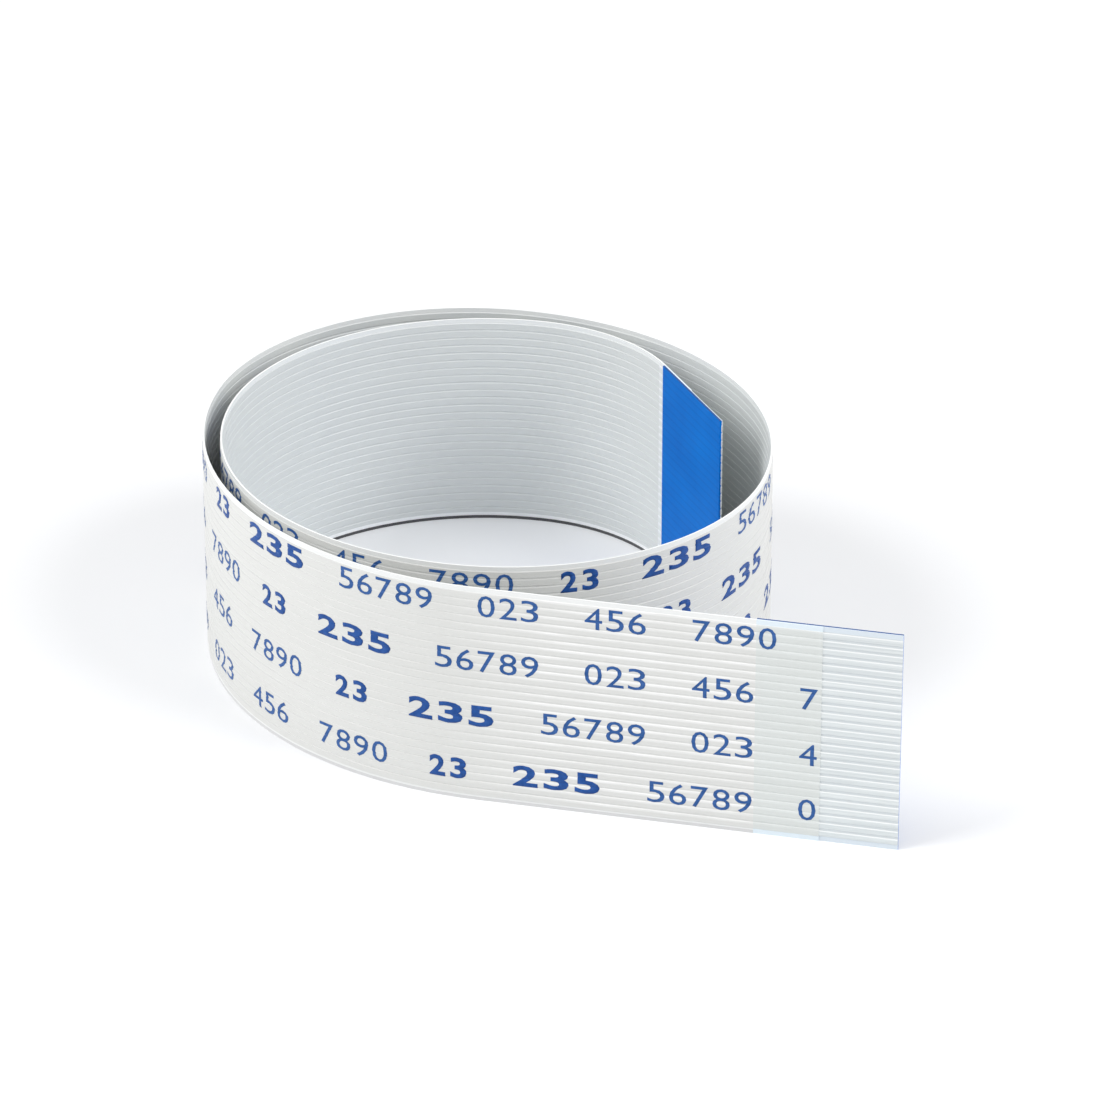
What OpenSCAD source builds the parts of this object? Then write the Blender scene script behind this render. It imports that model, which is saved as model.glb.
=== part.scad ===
// Flat flex cable, coiled and standing on its edge.
//
// Two insulating films are laminated over a row of flat tinned conductors. The outer film
// stops short of both ends, so the bare conductors there are the contacts, and a stiffener
// tape backs each end on the other face. The cable lies in a coil of about one and a half
// turns: a stiff inner end, seven bends, then a straight tail along +X.

/* [Ways] */
// Number of conductors
ways = 26; // [4:1:40]
// Distance from one conductor to the next
pitch = 1; // [1:0.01:1.27]
// Width of a conductor
conductor_w = 0.7; // [0.4:0.05:0.75]
// Thickness of a conductor
conductor_t = 0.1; // [0.05:0.01:0.16]

/* [Films] */
// Thickness of each film
film_t = 0.1; // [0.06:0.01:0.16]
// Width of the slope where a film comes down beside a conductor
drape_w = 0.08; // [0.04:0.01:0.1]

/* [Ends] */
// Bare length of the contacts at each end
contact_len = 9; // [3:0.5:14]
// Length of each stiffener tape
stiffener_len = 16.5; // [15:0.5:20]
// Thickness of each stiffener tape
stiffener_t = 0.2; // [0.12:0.01:0.3]

/* [Coil] */
// Radius of the short bend beside the inner end
lead_r = 21.3; // [18:0.1:24]
// Radius of the coil's tight bends
tight_r = 30.1; // [28:0.1:36]
// Radius of the coil's first wide bend
wide_r = 34.8; // [31:0.1:38]
// Distance from one turn to the next
turn_gap = 2.6; // [2:0.1:4]
// Radius of the bend that opens into the tail
exit_r = 42.3; // [38:0.1:50]
// Length of the straight tail
tail_len = 48.5; // [30:0.5:120]
// Run of the inner end's slope, along X
end_run = 3; // [2.5:0.1:3.5]
// Rise of the inner end's slope, along Y
end_rise = 4; // [3.5:0.1:4.5]

/* [Hidden] */
$fn = 180;

function conductor_name(i) = str("conductor_", i < 10 ? "0" : "", i);

cable_w = (ways + 1) * pitch;
// The two films meet between the conductors, half a conductor above the inner film's ridges
seam = film_t + conductor_t / 2;
laminate_t = 2 * film_t + conductor_t;

// The coil is walked outward from the inner end, each bend a quarter turn on its own centre
bend_r = [lead_r, tight_r, wide_r, tight_r, wide_r + turn_gap, tight_r, exit_r];
last = len(bend_r) - 1;

// Two bends meet at the same point and heading, so a centre only moves along their joint
function centre(k) = k == 0 ? [0, 0]
    : centre(k - 1) + (bend_r[k - 1] - bend_r[k]) * [cos(90 * k), sin(90 * k)];

// Middle of the cable's outline in plan, which goes to the origin
left = centre(last)[0] - exit_r - laminate_t;
right = centre(last)[0] + tail_len;
front = centre(last)[1] - exit_r - laminate_t;
back = centre(last - 1)[1] + tight_r + laminate_t;
middle = [(left + right) / 2, (front + back) / 2];

// Points up one face of the cable, in thickness and height: `low` is its place between the
// conductors, `high` its place over them, and `slope` the width of each side of a ridge
function face(low, high, slope = 0) = [
    [low, 0],
    for (i = [1 : ways], side = [-1, 1])
        let (edge = i * pitch + side * conductor_w / 2)
            each side < 0 ? [[low, edge - slope], [high, edge]] : [[high, edge], [low, edge + slope]],
    [low, cable_w]
];

function reversed(list) = [for (i = [len(list) - 1 : -1 : 0]) list[i]];

function inner_face() = face(seam - film_t, 0, drape_w);

module between(inner, outer) {
    polygon(concat(inner, reversed(outer)));
}

// A straight run of a section, ending on the local X axis
module straight(length) {
    rotate([90, 0, 0])
        linear_extrude(length) children();
}

// Puts what starts at quarter turn `quarter` on the centre of bend k
module at_bend(k, quarter) {
    translate([centre(k)[0] - middle[0], centre(k)[1] - middle[1], 0])
        rotate([0, 0, 90 * quarter])
            children();
}

// Turns the inner end to its slope
module at_inner_end() {
    at_bend(0, 0)
        rotate([0, 0, atan2(end_run, end_rise)])
            children();
}

// Stands at a distance along the tail, where it leaves the last bend
module at_tail(distance) {
    at_bend(last, last + 1)
        translate([exit_r, distance, 0])
            children();
}

module bend(k) {
    rotate_extrude(angle = 90)
        translate([bend_r[k], 0]) children();
}

// The inner end and its short bend, which is cut off where the first full bend takes over
module lead(length) {
    difference() {
        at_inner_end() {
            translate([bend_r[0], 0, 0])
                straight(length) children();
            bend(0) children();
        }
        at_bend(0, 0)
            translate([-2 * lead_r, -lead_r, -1])
                cube([2 * lead_r, 3 * lead_r, cable_w + 2]);
    }
}

// A section carried along the whole cable, stopping `short` of both cut ends
module cable(short = 0) {
    lead(stiffener_len - short) children();
    for (k = [1 : last])
        at_bend(k, k)
            bend(k) children();
    at_tail(tail_len - short)
        straight(tail_len - short) children();
}

module stiffener_section() {
    between([[-stiffener_t, 0], [-stiffener_t, cable_w]], inner_face());
}

// Printed film on the outside of the coil
module outer_film() {
    color("whitesmoke")
        cable(contact_len)
            between(
                face(seam, seam + conductor_t / 2),
                face(seam + film_t, laminate_t, drape_w)
            );
}

// Base film on the inside of the coil, which runs to both ends under the contacts
module inner_film() {
    color("gainsboro")
        cable()
            between(inner_face(), face(seam, seam - conductor_t / 2));
}

// Tape behind the contacts at the end of the tail
module outer_stiffener() {
    color("royalblue")
        at_tail(tail_len)
            straight(stiffener_len) stiffener_section();
}

// Tape behind the contacts at the inner end
module inner_stiffener() {
    color("royalblue")
        at_inner_end()
            translate([lead_r, 0, 0])
                straight(stiffener_len) stiffener_section();
}

// One flat tinned strip, bare at both ends
module conductor(i) {
    color("silver")
        cable()
            translate([film_t, i * pitch - conductor_w / 2])
                square([conductor_t, conductor_w]);
}

outer_film();
inner_film();
outer_stiffener();
inner_stiffener();
for (i = [1 : ways])
    conductor(i);
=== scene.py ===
"""A flat flex cable lying in a loose coil on its edge, dressed for rendering."""

import math

import bpy
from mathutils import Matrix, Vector


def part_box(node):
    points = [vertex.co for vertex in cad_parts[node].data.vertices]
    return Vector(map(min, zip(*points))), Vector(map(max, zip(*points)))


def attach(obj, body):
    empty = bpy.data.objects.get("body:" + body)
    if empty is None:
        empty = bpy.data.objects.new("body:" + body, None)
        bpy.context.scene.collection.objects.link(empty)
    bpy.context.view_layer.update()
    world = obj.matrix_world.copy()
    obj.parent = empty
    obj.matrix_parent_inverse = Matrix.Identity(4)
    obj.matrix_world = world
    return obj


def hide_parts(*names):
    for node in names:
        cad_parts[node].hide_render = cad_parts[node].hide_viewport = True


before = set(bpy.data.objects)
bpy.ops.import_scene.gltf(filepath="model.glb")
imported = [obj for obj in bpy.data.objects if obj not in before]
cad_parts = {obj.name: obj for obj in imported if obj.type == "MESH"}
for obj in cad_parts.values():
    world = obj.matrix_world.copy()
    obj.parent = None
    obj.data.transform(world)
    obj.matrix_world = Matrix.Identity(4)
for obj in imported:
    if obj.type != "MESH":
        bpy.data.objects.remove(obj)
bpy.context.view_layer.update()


# ---- Camera ----
# A long lens, a little over three quarters of a metre away and looking down on the coil,
# with the tail lying across the front.
bpy.ops.object.camera_add(location=(0.158, -0.655, 0.3565))
camera = bpy.context.object
camera.name = "camera"
camera.data.sensor_width = 36
camera.data.lens = 211.2
camera.data.clip_start = 0.05
camera.data.clip_end = 30
aim = Vector((-0.0035, 0.0004, 0.0135))
camera.rotation_euler = (aim - camera.location).to_track_quat("-Z", "Y").to_euler()
bpy.context.scene.camera = camera
bpy.context.scene.view_settings.view_transform = "Standard"


# ---- Table, backdrop and light ----
# A smooth pale table top under a white surround. The surround gives most of the light, and a
# large soft lamp on each side turns the shapes.
bpy.ops.mesh.primitive_plane_add(size=12, location=(0, 0, 0))
table = bpy.context.object
table.name = "table_top"
bpy.ops.object.mode_set(mode="EDIT")
bpy.ops.mesh.subdivide(number_cuts=3)
bpy.ops.object.mode_set(mode="OBJECT")


def feed(node, terms):
    """Gives each named input of a node a plain value, or another node's output."""
    for socket, term in terms.items():
        if isinstance(term, bpy.types.NodeSocket):
            node.id_data.links.new(term, node.inputs[socket])
        else:
            node.inputs[socket].default_value = term


def add_node(tree, kind, terms, **settings):
    """A new node with its settings made and its inputs fed."""
    node = tree.nodes.new(kind)
    for setting, value in settings.items():
        setattr(node, setting, value)
    feed(node, terms)
    return node


def sum_of(tree, kind, *terms):
    """A sum in a finish, whose terms are numbers or other nodes' outputs."""
    return add_node(tree, "ShaderNodeMath", dict(enumerate(terms)), operation=kind).outputs["Value"]


def seen_by_eye(tree, lighting, seen, output):
    """One shader lights the object, and the camera and reflections see the other."""
    ray = add_node(tree, "ShaderNodeLightPath", {}).outputs
    share = sum_of(tree, "MAXIMUM", ray["Is Camera Ray"], ray["Is Glossy Ray"])
    share = sum_of(tree, "MAXIMUM", share, ray["Is Transmission Ray"])
    terms = {"Fac": share, 1: lighting.outputs[0], 2: seen.outputs[0]}
    feed(output, {"Surface": add_node(tree, "ShaderNodeMixShader", terms).outputs["Shader"]})


table_paint = bpy.data.materials.new("table_paint")
table_paint.use_nodes = True
nodes = table_paint.node_tree.nodes
pale_top = nodes["Principled BSDF"]
white_top = nodes.new("ShaderNodeBsdfPrincipled")
for paint, tone in ((pale_top, (0.72, 0.73, 0.75, 1)), (white_top, (0.90, 0.907, 0.922, 1))):
    feed(paint, {"Base Color": tone, "Roughness": 0.7, "Specular IOR Level": 0.2})
seen_by_eye(table_paint.node_tree, pale_top, white_top, nodes["Material Output"])
table.data.materials.append(table_paint)

surround = bpy.data.worlds.new("white_surround")
bpy.context.scene.world = surround
surround.use_nodes = True
nodes = surround.node_tree.nodes
room = nodes["Background"]
paper = nodes.new("ShaderNodeBackground")
for light, strength in ((room, 0.62), (paper, 1)):
    feed(light, {"Color": (1, 1, 1, 1), "Strength": strength})
seen_by_eye(surround.node_tree, room, paper, nodes["World Output"])

for name, place, energy in (
    ("left_lamp", (-0.83, -0.46, 0.80), 9.0),
    ("right_lamp", (0.94, -0.14, 0.80), 8.6),
):
    bpy.ops.object.light_add(type="AREA", location=place)
    lamp = bpy.context.object
    lamp.name = name
    lamp.data.shape = "DISK"
    lamp.data.size = 0.8
    lamp.data.energy = energy
    lamp.rotation_euler = (-lamp.location).to_track_quat("-Z", "Y").to_euler()


# ---- Base film ----
# The inside layer of the cable, a thin milky polyester. It is laid down first and runs to both
# cut ends, where it carries the bare conductors and shows blue from the tape behind it.

# the sizes and the route of the solids, from the inner cut end to the tail's
PITCH = 0.001
LAMINATE = 0.0003
STIFF_END = 0.0165
BARE_END = 0.009
STRAIGHT_TAIL = 0.0485
BEND_RADII = [0.0213, 0.0301, 0.0348, 0.0301, 0.0374, 0.0301, 0.0423]
END_SLOPE = math.atan2(3, 4)
CABLE_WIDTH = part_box("inner_film")[1][2]

# how near its bend's line, inward and outward, a point of a film lies
REACH_IN = 0.0004
REACH_OUT = 0.0006
HAIR = 1e-6

# the stripes that the films show at their edges and ends: clear margins, a lighter band beside each
# tape's end, and along the lower edge a band of painted bounce light over a line of painted contact
# shadow
CLEAR_MARGIN = 0.00058
PAINTED_LIGHT_LIP = 0.00085
PAINTED_SHADOW_FOOT = 0.0004
TAPE_STEP = 0.0014

# the tail's painted highlight on the ribs comes in from this far before its start to this far past it
HIGHLIGHT_FROM = 0.004
HIGHLIGHT_BY = 0.008

# two bends meet at the same point and heading, so a centre only moves along their joint
bend_centres = [Vector((0, 0))]
for k in range(1, len(BEND_RADII)):
    joint = Vector((math.cos(k * math.pi / 2), math.sin(k * math.pi / 2)))
    bend_centres.append(bend_centres[-1] + (BEND_RADII[k - 1] - BEND_RADII[k]) * joint)
tail_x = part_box("inner_film")[1][0] - STRAIGHT_TAIL
tail_start = Vector((tail_x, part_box("outer_film")[0][1] + LAMINATE))
shift = tail_start + Vector((0, BEND_RADII[-1])) - bend_centres[-1]
bend_centres = [centre + shift for centre in bend_centres]

# the angle and the distance along the cable at which each bend starts, the tail's start last
bend_angles = [END_SLOPE] + [k * math.pi / 2 for k in range(1, len(BEND_RADII))]
bend_starts = [STIFF_END]
for k, radius in enumerate(BEND_RADII):
    bend_starts.append(bend_starts[-1] + radius * ((k + 1) * math.pi / 2 - bend_angles[k]))
CABLE_LENGTH = bend_starts[-1] + STRAIGHT_TAIL


def along_cable(distance, depth, height):
    """The place at a distance along the cable, from its inner cut end, and a depth through it."""
    if distance <= STIFF_END:
        out = BEND_RADII[0] + depth
        before = distance - STIFF_END
        x = bend_centres[0].x + out * math.cos(END_SLOPE) - before * math.sin(END_SLOPE)
        y = bend_centres[0].y + out * math.sin(END_SLOPE) + before * math.cos(END_SLOPE)
        return Vector((x, y, height))
    if distance >= bend_starts[-1]:
        return Vector((tail_start.x + distance - bend_starts[-1], tail_start.y - depth, height))
    k = max(i for i, start in enumerate(bend_starts[:-1]) if distance >= start)
    angle = bend_angles[k] + (distance - bend_starts[k]) / BEND_RADII[k]
    out = BEND_RADII[k] + depth
    x = bend_centres[k].x + out * math.cos(angle)
    y = bend_centres[k].y + out * math.sin(angle)
    return Vector((x, y, height))


def distance_at(place):
    """How far along the cable a point of a film lies."""
    flat = Vector((place.x, place.y))
    if abs(flat.y - tail_start.y) < REACH_OUT and flat.x >= tail_start.x - HAIR:
        return bend_starts[-1] + flat.x - tail_start.x
    slack = 0.001
    for k, radius in enumerate(BEND_RADII):
        arm = flat - bend_centres[k]
        if -REACH_IN < arm.length - radius < REACH_OUT:
            turn = (math.atan2(arm.y, arm.x) - bend_angles[k] + slack) % (2 * math.pi) - slack
            if turn * radius <= bend_starts[k + 1] - bend_starts[k] + HAIR:
                return bend_starts[k] + turn * radius
    arm = flat - bend_centres[0]
    return STIFF_END + arm.y * math.cos(END_SLOPE) - arm.x * math.sin(END_SLOPE)


def film_over(node):
    """A smooth skin in a film's own shape, with its length and width laid out for the finish."""
    film = bpy.data.objects.new(node + "_skin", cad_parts[node].data.copy())
    bpy.context.scene.collection.objects.link(film)
    bpy.ops.object.select_all(action="DESELECT")
    film.select_set(True)
    bpy.context.view_layer.objects.active = film
    bpy.ops.mesh.customdata_custom_splitnormals_clear()
    bpy.ops.object.mode_set(mode="EDIT")
    bpy.ops.mesh.select_all(action="SELECT")
    bpy.ops.mesh.remove_doubles(threshold=HAIR)
    bpy.ops.mesh.tris_convert_to_quads(face_threshold=0.02, shape_threshold=3.1)
    bpy.ops.object.mode_set(mode="OBJECT")
    bpy.ops.object.shade_smooth_by_angle(angle=math.radians(25))
    while film.data.uv_layers:
        film.data.uv_layers.remove(film.data.uv_layers[0])
    layout = film.data.uv_layers.new(name="length_and_width")
    far = [distance_at(v.co) for v in film.data.vertices]
    for corner in film.data.loops:
        v = corner.vertex_index
        layout.data[corner.index].uv = (far[v], film.data.vertices[v].co.z)
    film.data.materials.clear()
    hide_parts(node)
    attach(film, "root")
    return film


def new_finish(name):
    """A material, with its node tree and its main shader."""
    finish = bpy.data.materials.new(name)
    finish.use_nodes = True
    return finish, finish.node_tree, finish.node_tree.nodes["Principled BSDF"]


def place_in(tree, kind="Object"):
    """Where on the object a point lies: the part's own frame, or its length and width."""
    return add_node(tree, "ShaderNodeTexCoord", {}).outputs[kind]


def axis_of(tree, place, axis):
    """One measure of a place."""
    return add_node(tree, "ShaderNodeSeparateXYZ", {0: place}).outputs[axis]


def clouds(tree, place, to_a_metre, detail):
    """Cloudy patches, so many to a metre each way."""
    stretch = add_node(tree, "ShaderNodeMapping", {"Vector": place, "Scale": to_a_metre})
    terms = {"Vector": stretch.outputs["Vector"], "Scale": 1, "Detail": detail}
    return add_node(tree, "ShaderNodeTexNoise", terms).outputs["Fac"]


def share_of(tree, value, start, end, low, high):
    """A share that goes from low to high as the value goes from start to end."""
    terms = {"Value": value, "From Min": start, "From Max": end, "To Min": low, "To Max": high}
    return add_node(tree, "ShaderNodeMapRange", terms).outputs["Result"]


def across_rib(tree, height):
    """How far across its rib a point lies, from 0 to 1, with the conductor in the middle."""
    return sum_of(tree, "FRACT", sum_of(tree, "MULTIPLY_ADD", height, 1 / PITCH, 0.5))


def tones_along(tree, value, stops, blend="LINEAR"):
    """A tone that follows the stops as the value grows."""
    node = add_node(tree, "ShaderNodeValToRGB", {"Fac": value})
    node.color_ramp.interpolation = blend
    points = node.color_ramp.elements
    for n, (stop, tone) in enumerate(stops):
        point = points[n] if n < 2 else points.new(stop)
        point.position = stop
        point.color = (*tone, 1)
    return node.outputs["Color"]


def stripe(tree, value, stops, blend="LINEAR"):
    """A share that follows the stops as the value grows."""
    return tones_along(tree, value, [(stop, (share,) * 3) for stop, share in stops], blend)


def laid_over(tree, under, tone, share, kind="MIX"):
    """A tone laid over what is there, where share is 1."""
    terms = {"A": under, "B": (*tone, 1), "Factor": share}
    return add_node(tree, "ShaderNodeMix", terms, data_type="RGBA", blend_type=kind).outputs["Result"]


def raised(tree, height, strength, distance):
    """A surface that rises a little with the height."""
    terms = {"Height": height, "Strength": strength, "Distance": distance}
    return add_node(tree, "ShaderNodeBump", terms).outputs["Normal"]


def film_finish(name, breaks, faintest, tones):
    """Milky film over flat conductors: a rib for each, clear margins, and blue tape at the ends.

    The painted lines beside each rib have so many breaks to a metre, where they are at their
    faintest.
    """
    finish, tree, shader = new_finish(name)
    height = axis_of(tree, place_in(tree), "Z")
    length_and_width = place_in(tree, "UV")
    along = axis_of(tree, length_and_width, "X")

    # across the cable: a rib to each conductor, with a line of painted shade on its upper slope and a
    # line of painted light on its lower slope, which even out how the lamps light the slopes
    across = across_rib(tree, height)
    off_middle = sum_of(tree, "ABSOLUTE", sum_of(tree, "SUBTRACT", height, CABLE_WIDTH / 2))
    ribbed = sum_of(tree, "LESS_THAN", off_middle, CABLE_WIDTH / 2 - CLEAR_MARGIN)
    margin = sum_of(tree, "SUBTRACT", 1, ribbed)
    crest = stripe(tree, across, [(0.0, 0.1), (0.5, 0), (0.78, 1), (0.9, 1), (1.0, 0.1)], "EASE")
    over = stripe(tree, across, [(0.82, 0), (0.86, 1), (0.92, 1), (0.96, 0)], "EASE")
    under = stripe(tree, across, [(0.04, 0), (0.08, 1), (0.14, 1), (0.18, 0)], "EASE")

    # along the cable: the lamination is a little uneven, and each rib has its own, which also breaks
    # up the painted lines along the ribs
    fine = clouds(tree, length_and_width, (breaks, 1 / PITCH, 1), detail=3)
    broad = clouds(tree, length_and_width, (25, 420, 1), detail=2)
    mixed = sum_of(tree, "MULTIPLY_ADD", fine, 0.5, sum_of(tree, "MULTIPLY", broad, 0.5))
    patchy = share_of(tree, mixed, 0.42, 0.6, faintest, 1)

    # distance from the nearer cut end
    near = sum_of(tree, "MINIMUM", along, sum_of(tree, "SUBTRACT", CABLE_LENGTH, along))
    taped = sum_of(tree, "LESS_THAN", near, STIFF_END)
    free = sum_of(tree, "SUBTRACT", 1, taped)
    bare = sum_of(tree, "LESS_THAN", near, BARE_END)

    # on a film with a painted gleam, the straight tail takes a painted highlight along each rib's
    # crest instead of the coil's painted shade and light lines, and its taped end shares the two
    if "painted_gleam" in tones:
        tail = bend_starts[-1]
        coiled = share_of(tree, along, tail - HIGHLIGHT_FROM, tail + HIGHLIGHT_BY, 1, 0)
        countershade_share = sum_of(tree, "MAXIMUM", coiled, sum_of(tree, "MULTIPLY", taped, 0.55))
    else:
        countershade_share = 1
    ribs = sum_of(tree, "MULTIPLY", ribbed, patchy)
    countershaded_ribs = sum_of(tree, "MULTIPLY", ribs, countershade_share)
    highlighted_ribs = sum_of(tree, "SUBTRACT", ribs, countershaded_ribs)

    # the plain film first, then each tone over the last
    tone = tones_along(tree, broad, [(0, tones["face"]), (1, tones["cloud"])])
    # painted shade on the upper slope of each rib, then painted light on the lower slope
    tone = laid_over(tree, tone, tones["painted_shade_over_rib"], sum_of(tree, "MULTIPLY", over, countershaded_ribs))
    tone = laid_over(tree, tone, tones["painted_light_under_rib"], sum_of(tree, "MULTIPLY", under, countershaded_ribs))
    # a painted highlight along the crest of each rib on the tail
    if "painted_gleam" in tones:
        tone = laid_over(tree, tone, tones["painted_gleam"], sum_of(tree, "MULTIPLY", crest, highlighted_ribs))
    tone = laid_over(tree, tone, tones["margin"], margin)
    if "step" in tones:
        step = sum_of(tree, "MULTIPLY", sum_of(tree, "LESS_THAN", near, STIFF_END + TAPE_STEP), free)
        ribbed_step = sum_of(tree, "MULTIPLY", step, sum_of(tree, "MULTIPLY_ADD", crest, 0.6, 0.4))
        tone = laid_over(tree, tone, tones["step"], ribbed_step)
    tone = laid_over(tree, tone, tones["taped"], taped, "MULTIPLY")
    tone = laid_over(tree, tone, tones["taped_margin"], sum_of(tree, "MULTIPLY", margin, taped))
    tone = laid_over(tree, tone, tones["bare"], sum_of(tree, "MULTIPLY", bare, ribbed))
    # painted bounce light from the table on a band along the film's lower edge, above the painted
    # shadow
    if "painted_light_lip" in tones:
        painted_light_lip = sum_of(tree, "LESS_THAN", height, PAINTED_LIGHT_LIP)
        tone = laid_over(tree, tone, tones["painted_light_lip"], sum_of(tree, "MULTIPLY", painted_light_lip, free))
    # a painted contact shadow along the very foot of the film, where it stands on the table
    painted_shadow_foot = sum_of(tree, "LESS_THAN", height, PAINTED_SHADOW_FOOT)
    tone = laid_over(tree, tone, tones["painted_shadow_foot"], sum_of(tree, "MULTIPLY", painted_shadow_foot, free))

    gloss = share_of(tree, fine, 0, 1, 0.34, 0.48)
    relief = raised(tree, fine, strength=0.2, distance=0.000005)
    feed(shader, {"Base Color": tone, "IOR": 1.5, "Roughness": gloss, "Normal": relief})
    return finish


base_film = film_over("inner_film")
base_film.data.materials.append(
    film_finish(
        "milky_base_film",
        breaks=430,
        faintest=0.1,
        tones={
            "face": (0.665, 0.69, 0.69),
            "cloud": (0.70, 0.725, 0.72),
            # painted shade and painted light for the slopes of the ribs
            "painted_shade_over_rib": (0.605, 0.63, 0.63),
            "painted_light_under_rib": (0.84, 0.865, 0.86),
            "margin": (0.84, 0.86, 0.86),
            "step": (0.79, 0.81, 0.84),
            # painted bounce light on the lower edge
            "painted_light_lip": (0.96, 0.97, 0.98),
            "taped": (0.93, 0.98, 1.0),
            "taped_margin": (0.69, 0.76, 0.82),
            "bare": (0.65, 0.69, 0.71),
            # painted contact shadow at the foot
            "painted_shadow_foot": (0.07, 0.07, 0.075),
        },
    )
)


# ---- Conductors ----
# Flat tinned copper strips, one for each way, laid side by side on the base film. They are bare
# at both ends, where they are the contacts, and are drawn smooth along their length.
tin, tree, shader = new_finish("bright_tin")
place = place_in(tree)
drawn = clouds(tree, place, (70, 70, 5000), detail=4)
tone = tones_along(tree, drawn, [(0.3, (0.585, 0.62, 0.625)), (0.7, (0.69, 0.72, 0.72))])
# a painted highlight along the upper edge of each strip
painted_edge_highlight = stripe(tree, across_rib(tree, axis_of(tree, place, "Z")), [(0.66, 0), (0.74, 1)])
tone = laid_over(tree, tone, (0.83, 0.845, 0.84), painted_edge_highlight)
gloss = share_of(tree, drawn, 0, 1, 0.25, 0.5)
relief = raised(tree, drawn, strength=0.3, distance=0.00001)
feed(shader, {"Base Color": tone, "Metallic": 1, "Roughness": gloss, "Normal": relief})
for name in sorted(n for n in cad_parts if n.startswith("conductor_")):
    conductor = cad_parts[name]
    conductor.data.materials.clear()
    conductor.data.materials.append(tin)


# ---- Cover film ----
# The outside layer, a whiter polyester laminated over the conductors. It stops short of both
# cut ends, so that the contacts are bare, and takes the print.
cover_film = film_over("outer_film")
cover_film.data.materials.append(
    film_finish(
        "white_cover_film",
        breaks=170,
        faintest=0.4,
        tones={
            "face": (0.68, 0.682, 0.66),
            "cloud": (0.72, 0.722, 0.70),
            # painted shade and painted light for the slopes of the ribs
            "painted_shade_over_rib": (0.60, 0.605, 0.59),
            "painted_light_under_rib": (0.84, 0.845, 0.82),
            # painted highlight along the crests of the tail's ribs
            "painted_gleam": (0.875, 0.875, 0.865),
            "margin": (0.84, 0.85, 0.84),
            "taped": (0.96, 0.995, 1.0),
            "taped_margin": (0.75, 0.84, 0.90),
            "bare": (0.65, 0.69, 0.71),
            # a faint painted contact shadow at the foot
            "painted_shadow_foot": (0.66, 0.66, 0.66),
        },
    )
)


# ---- Print ----
# Plain counting figures in blue ink, four rows along the whole cover film, each row a group
# further on than the one above it. The ink lies over the ribs and stops where the film is cut.
RIB_HEIGHT = 0.00005
RIB_HALF = 0.00035
RIB_SIDE = 0.00008
STRIP = 0.0006
FIGURE_HEIGHT = 0.0027
ROWS = 4
ROW_STEP = 0.007
ROW_FOOT = 0.00245
INK = 0.000008


def cover_depth(height):
    """How far out the cover film's face is at a height: further over a conductor."""
    off = abs(height - round(height / PITCH) * PITCH)
    rise = min(1, max(0, (RIB_HALF + RIB_SIDE - off) / RIB_SIDE))
    return LAMINATE - RIB_HEIGHT * (1 - rise)


def figure(sign, width, bold):
    """One printed figure laid flat, cut in strips so that it bends, and where it goes over a rib."""
    bpy.ops.object.select_all(action="DESELECT")
    bpy.ops.object.text_add()
    bpy.context.object.data.body = sign
    bpy.context.object.data.resolution_u = 3
    bpy.context.object.data.offset = 0.03 if bold else 0.0
    bpy.ops.object.convert(target="MESH")
    shape = bpy.context.object
    wide = width / shape.dimensions.x
    tall = FIGURE_HEIGHT / shape.dimensions.y
    left = min(v.co.x for v in shape.data.vertices)
    low = min(v.co.y for v in shape.data.vertices)
    shape.scale = (wide, tall, 1)
    shape.location = (-left * wide, ROW_FOOT - low * tall, 0)
    bpy.ops.object.transform_apply()

    cuts = [((STRIP * n, 0, 0), (1, 0, 0)) for n in range(1, math.ceil(width / STRIP))]
    first_rib = math.floor(ROW_FOOT / PITCH)
    last_rib = math.ceil((ROW_FOOT + FIGURE_HEIGHT) / PITCH)
    for rib in range(first_rib, last_rib + 1):
        for edge in (RIB_HALF, RIB_HALF + RIB_SIDE):
            cuts.append(((0, rib * PITCH - edge, 0), (0, 1, 0)))
            cuts.append(((0, rib * PITCH + edge, 0), (0, 1, 0)))
    bpy.ops.object.mode_set(mode="EDIT")
    for place, normal in cuts:
        bpy.ops.mesh.select_all(action="SELECT")
        bpy.ops.mesh.bisect(plane_co=place, plane_no=normal, threshold=1e-8)
    bpy.ops.mesh.select_all(action="SELECT")
    bpy.ops.mesh.dissolve_degenerate(threshold=1e-7)
    bpy.ops.object.mode_set(mode="OBJECT")
    shape.data.materials.append(inks[bold])
    return shape


# thin strokes take less ink than bold ones
inks = {}
for bold, name, worn, full in (
    (False, "thin_blue_ink", (0.018, 0.082, 0.265), (0.040, 0.122, 0.36)),
    (True, "full_blue_ink", (0.005, 0.055, 0.240), (0.018, 0.090, 0.34)),
):
    inks[bold], tree, shader = new_finish(name)
    patchy = clouds(tree, place_in(tree), (1500, 1500, 1500), detail=2)
    tone = tones_along(tree, patchy, [(0.3, worn), (0.72, full)])
    feed(shader, {"Base Color": tone, "Roughness": 0.4, "Specular IOR Level": 0.25})

# groups of figures, each with its width, its step to the next figure and whether it is bold
GROUPS = [
    ("56789", 0.0020, 0.0025, False),
    ("023", 0.0020, 0.0025, False),
    ("456", 0.0020, 0.0025, False),
    ("7890", 0.0020, 0.0025, False),
    ("23", 0.0019, 0.0025, True),
    ("235", 0.0029, 0.0036, True),
]
GROUP_GAP = 0.0048
LOWEST_ROW_START = 0.0287
ROW_SHIFT = 0.0123

figures = {}
line = []
line_length = 0
for signs, width, step, bold in GROUPS:
    for sign in signs:
        line.append((line_length, sign, width, bold))
        if (sign, width, bold) not in figures:
            figures[(sign, width, bold)] = figure(sign, width, bold)
        line_length += step
    line_length += GROUP_GAP

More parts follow.
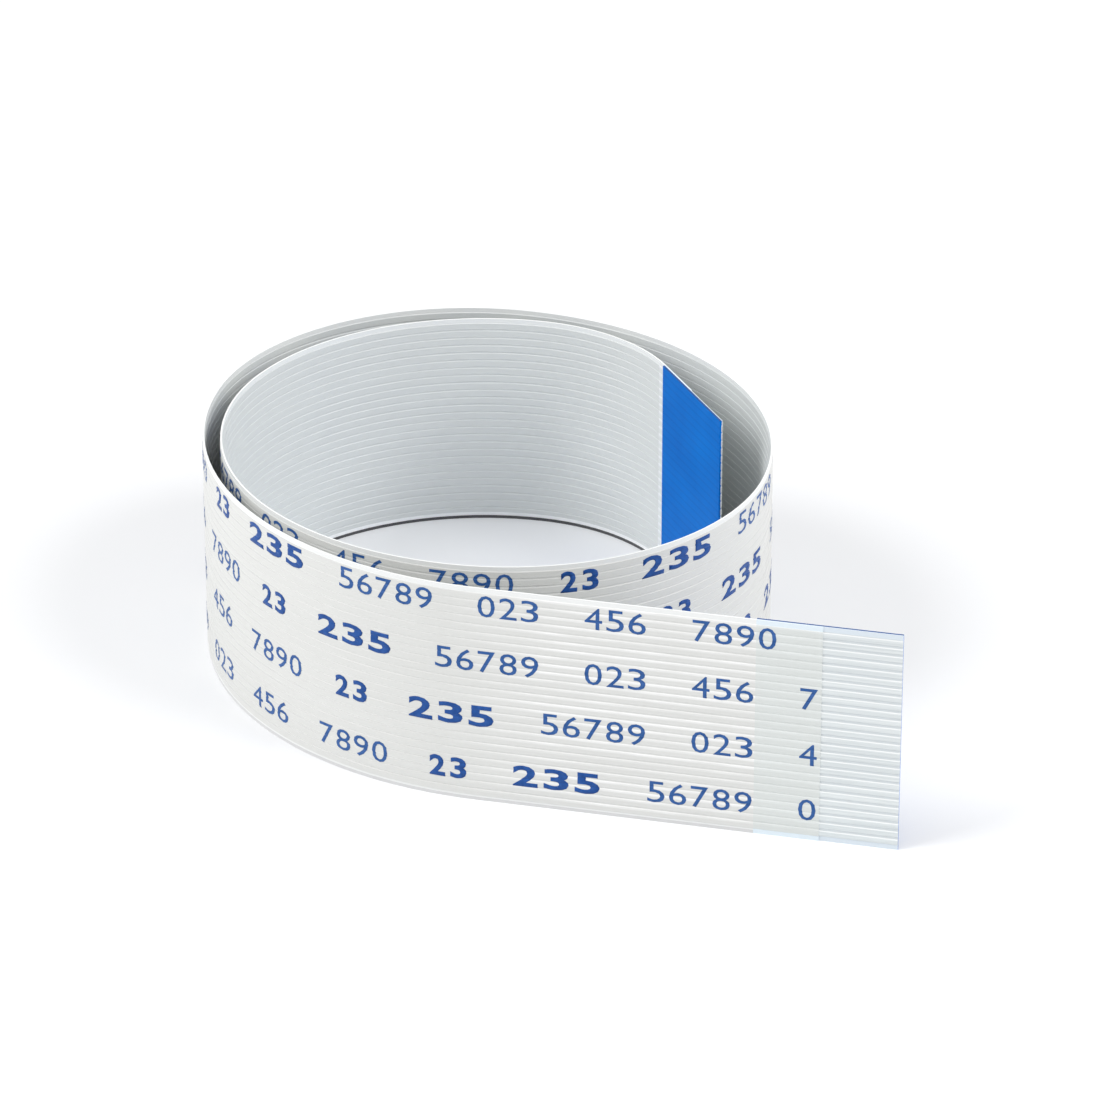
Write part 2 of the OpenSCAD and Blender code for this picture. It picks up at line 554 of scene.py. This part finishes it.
for row in range(ROWS):
    # the line is printed over and over, before and after this start of it
    first = CABLE_LENGTH - LOWEST_ROW_START - row * ROW_SHIFT
    before = math.ceil(first / line_length)
    after = math.ceil((CABLE_LENGTH - first) / line_length)
    bpy.ops.object.select_all(action="DESELECT")
    for repeat in range(-before, after):
        for offset, sign, width, bold in line:
            start = first + repeat * line_length + offset
            if start + width < BARE_END or start > CABLE_LENGTH - BARE_END:
                continue
            printed = figures[(sign, width, bold)].copy()
            printed.data = printed.data.copy()
            printed.location = (start, row * ROW_STEP, 0)
            bpy.context.scene.collection.objects.link(printed)
            printed.select_set(True)
    bpy.context.view_layer.objects.active = printed
    bpy.ops.object.join()
    bpy.ops.object.transform_apply()
    printed.name = f"print_row_{row + 1}"

    # cut off where the film is cut, then laid on the film along the whole route
    bpy.ops.object.mode_set(mode="EDIT")
    for end, outward in ((BARE_END, -1), (CABLE_LENGTH - BARE_END, 1)):
        bpy.ops.mesh.select_all(action="SELECT")
        bpy.ops.mesh.bisect(
            plane_co=(end, 0, 0), plane_no=(outward, 0, 0), threshold=1e-8, clear_outer=True
        )
    bpy.ops.object.mode_set(mode="OBJECT")
    for v in printed.data.vertices:
        v.co = along_cable(v.co.x, cover_depth(v.co.y) + INK, v.co.y)
    bpy.ops.object.modifier_add(type="SOLIDIFY")
    printed.modifiers[-1].thickness = INK
    printed.modifiers[-1].offset = 1
    bpy.ops.object.modifier_apply(modifier=printed.modifiers[-1].name)
    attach(printed, "root")

for flat in figures.values():
    bpy.data.objects.remove(flat)


# ---- Stiffeners ----
# Blue polyester tape stuck behind the contacts at each end, so that the cable can be pushed
# into a connector. The ribs show through it a little, and its slit upper edge is darker.
tape, tree, shader = new_finish("blue_stiffener_tape")
place = place_in(tree)
cloudy = clouds(tree, place, (160, 160, 160), detail=2)
tone = tones_along(tree, cloudy, [(0.3, (0.0, 0.135, 0.54)), (0.75, (0.0, 0.170, 0.63))])
# a wave texture of scale 1 repeats every pi / 10, so this one repeats every pitch
wave = {"Vector": place, "Scale": math.pi / (10 * PITCH)}
ribs = add_node(tree, "ShaderNodeTexWave", wave, bands_direction="Z").outputs["Color"]
tone = laid_over(tree, tone, (0.0, 0.04, 0.26), stripe(tree, ribs, [(0.0, 0.14), (0.25, 0)]))
top = sum_of(tree, "GREATER_THAN", axis_of(tree, place, "Z"), CABLE_WIDTH - 10 * HAIR)
tone = laid_over(tree, tone, (0.03, 0.09, 0.28), top)
relief = raised(tree, ribs, strength=0.15, distance=0.00002)
feed(shader, {"Base Color": tone, "Normal": relief})
feed(shader, {"Roughness": 0.35, "Specular IOR Level": 0.03})
for name in ("inner_stiffener", "outer_stiffener"):
    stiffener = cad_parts[name]
    stiffener.data.materials.clear()
    stiffener.data.materials.append(tape)
